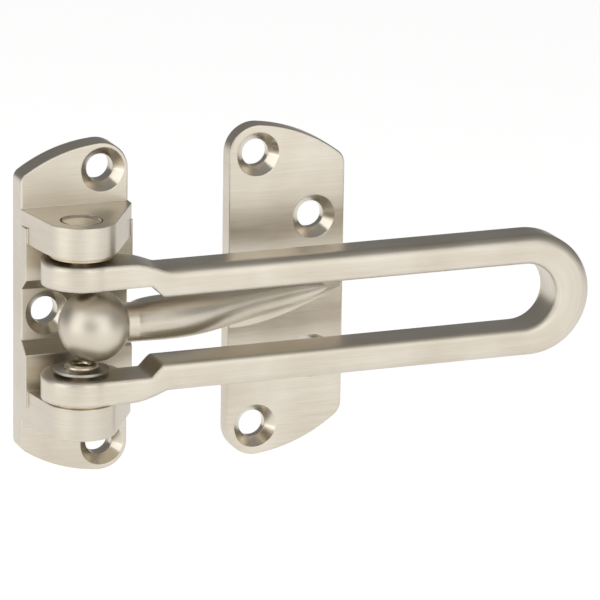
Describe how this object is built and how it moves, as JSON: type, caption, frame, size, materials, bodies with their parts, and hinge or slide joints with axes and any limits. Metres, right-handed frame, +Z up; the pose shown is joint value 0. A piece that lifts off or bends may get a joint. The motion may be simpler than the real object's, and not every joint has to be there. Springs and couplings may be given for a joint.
{
  "type": "door guard",
  "caption": "Swing-bar door guard: a slotted bar hinged in a lugged bracket, and a screw-on plate whose ball on a curved horn runs in the slot.",
  "frame": {"origin": "on the back of the frame bracket, behind the hinge axis, at mid height", "axes": "+X along the closed bar, away from the hinge; +Y into the wall; +Z up"},
  "size_m": [0.132, 0.0282, 0.0792],
  "materials": {
    "satin_nickel_bracket": "satin nickel plate with a fine level grain",
    "satin_nickel_bar": "satin nickel plate with a fine grain along the bar",
    "satin_nickel_catch": "satin nickel plate, the ball and horn smoother",
    "plated_rivet": "plated, with a rolled end",
    "brass_washer": "plain",
    "spring_washer": "plain spring steel"
  },
  "bodies": {
    "frame": {"frame_bracket": "satin_nickel_bracket", "upper_rivet": "plated_rivet", "lower_rivet": "plated_rivet", "upper_spacer_washer": "brass_washer", "lower_spacer_washer": "brass_washer", "upper_cup_washer": "spring_washer", "lower_cup_washer": "spring_washer", "catch_plate": "satin_nickel_catch"},
    "bar": {"swing_bar": "satin_nickel_bar"}
  },
  "joints": [
    {"name": "bar_swing", "type": "hinge", "parent": "frame", "child": "bar", "pos_m": [0, -0.019, 0], "axis": [0, 0, -1], "range_deg": [0, 180]}
  ]
}
